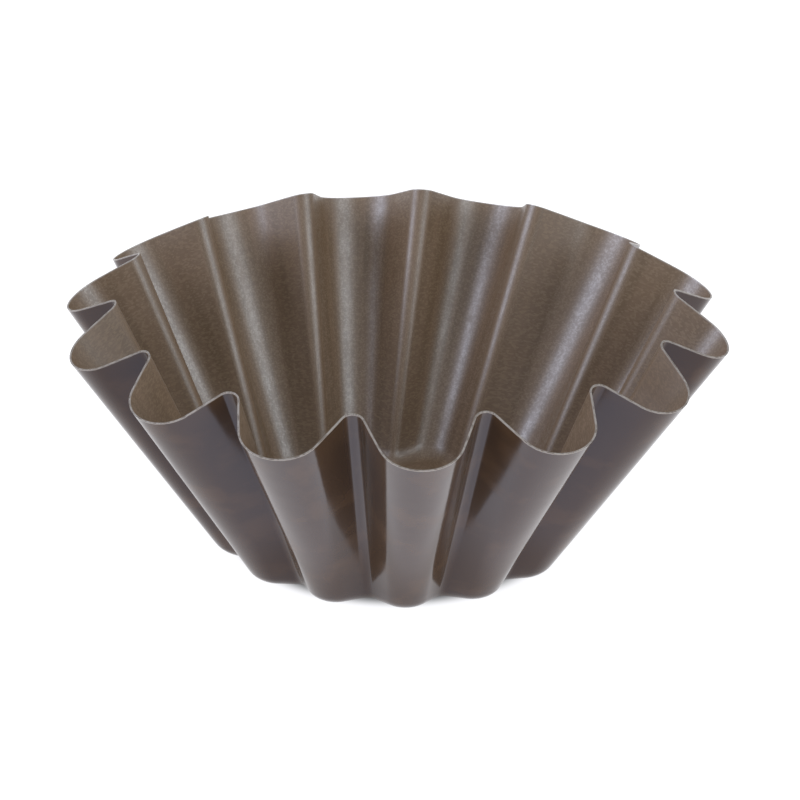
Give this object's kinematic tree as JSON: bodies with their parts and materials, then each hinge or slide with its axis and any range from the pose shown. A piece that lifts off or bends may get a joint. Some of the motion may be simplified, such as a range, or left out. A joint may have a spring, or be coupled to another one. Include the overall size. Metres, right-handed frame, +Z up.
{
  "type": "brioche mould",
  "caption": "Round fluted brioche mould pressed from coated sheet steel, with a flat base, flaring scalloped wall and plain cut rim, for baking brioche, jelly and cakes.",
  "frame": {"origin": "centre of the flat underside, on the surface that the mould stands on", "axes": "+Z up along the mould's axis, from the base to the mouth; +X through the middle of one lobe"},
  "size_m": [0.1999, 0.1959, 0.0789],
  "materials": {
    "bare_steel": "sheared edge",
    "bronze_nonstick": "satin metallic non-stick",
    "brown_lacquer": "gloss baked lacquer"
  },
  "bodies": {
    "root": {"steel_shell": "bare_steel", "inner_nonstick_coating": "bronze_nonstick", "outer_lacquer_coating": "brown_lacquer"}
  },
  "joints": []
}
